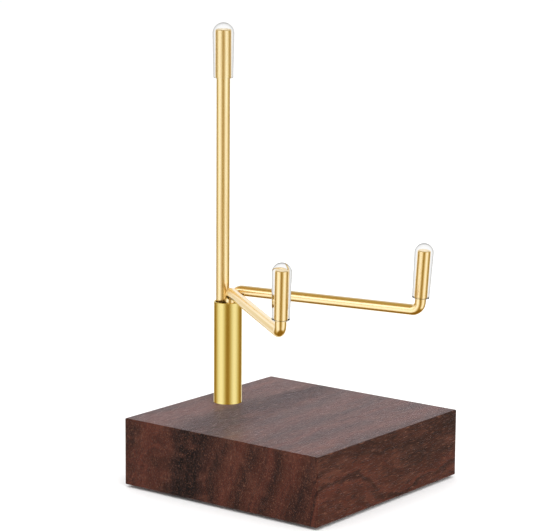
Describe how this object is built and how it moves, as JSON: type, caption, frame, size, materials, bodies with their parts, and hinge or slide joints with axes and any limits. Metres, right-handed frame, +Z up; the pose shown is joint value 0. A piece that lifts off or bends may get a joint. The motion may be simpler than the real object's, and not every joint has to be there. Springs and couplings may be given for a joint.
{
  "type": "mineral display stand",
  "caption": "Display stand: wooden block, short brass post, upright back rod and bent swivelling arms with clear soft caps on their tips; holds a mineral slice or small plate upright.",
  "frame": {"origin": "centre of the block's footprint on the surface the stand rests on, at the felt's underside", "axes": "+Z up; -Y to the front, where the arms reach; +X to the right seen from the front; the post stands near the block's back edge, on the Y axis"},
  "size_m": [0.0776, 0.0757, 0.1347],
  "materials": {
    "walnut": "dark oiled walnut, soft semi-gloss, open grain",
    "felt": "pressed wool felt, matt",
    "satin_brass": "brushed along the tube, clear lacquer, satin",
    "plain_brass": "as turned",
    "polished_brass": "polished, pale gold",
    "zinc_steel": "bright zinc plate",
    "clear_silicone": "clear moulded silicone, glossy"
  },
  "bodies": {
    "stand": {"walnut_block": "walnut", "felt_pad": "felt", "post_tube": "satin_brass", "post_plug": "plain_brass", "post_screw": "zinc_steel", "flat_washer": "zinc_steel", "lock_washer": "zinc_steel", "back_rod": "polished_brass"},
    "left_swing_arm": {"left_arm": "polished_brass"},
    "right_swing_arm": {"right_arm": "polished_brass"},
    "back_tip_cap": {"back_rod_cap": "clear_silicone"},
    "left_tip_cap": {"left_arm_cap": "clear_silicone"},
    "right_tip_cap": {"right_arm_cap": "clear_silicone"}
  },
  "joints": [
    {"name": "left_arm_swivel", "type": "hinge", "parent": "stand", "child": "left_swing_arm", "pos_m": [-0.00128, 0.02272, 0.0268], "axis": [0, 0, 1], "range_deg": [-68, 36]},
    {"name": "right_arm_swivel", "type": "hinge", "parent": "stand", "child": "right_swing_arm", "pos_m": [0.00189, 0.02339, 0.0268], "axis": [0, 0, 1], "range_deg": [-6, 121]},
    {"name": "back_cap_pull", "type": "slide", "parent": "stand", "child": "back_tip_cap", "axis": [0, 0, 1], "range_m": [0, 0.018]},
    {"name": "left_cap_pull", "type": "slide", "parent": "left_swing_arm", "child": "left_tip_cap", "axis": [-0.0379, -0.0478, 0.9981], "range_m": [0, 0.018]},
    {"name": "right_cap_pull", "type": "slide", "parent": "right_swing_arm", "child": "right_tip_cap", "axis": [0.0091, -0.0604, 0.9981], "range_m": [0, 0.018]}
  ]
}
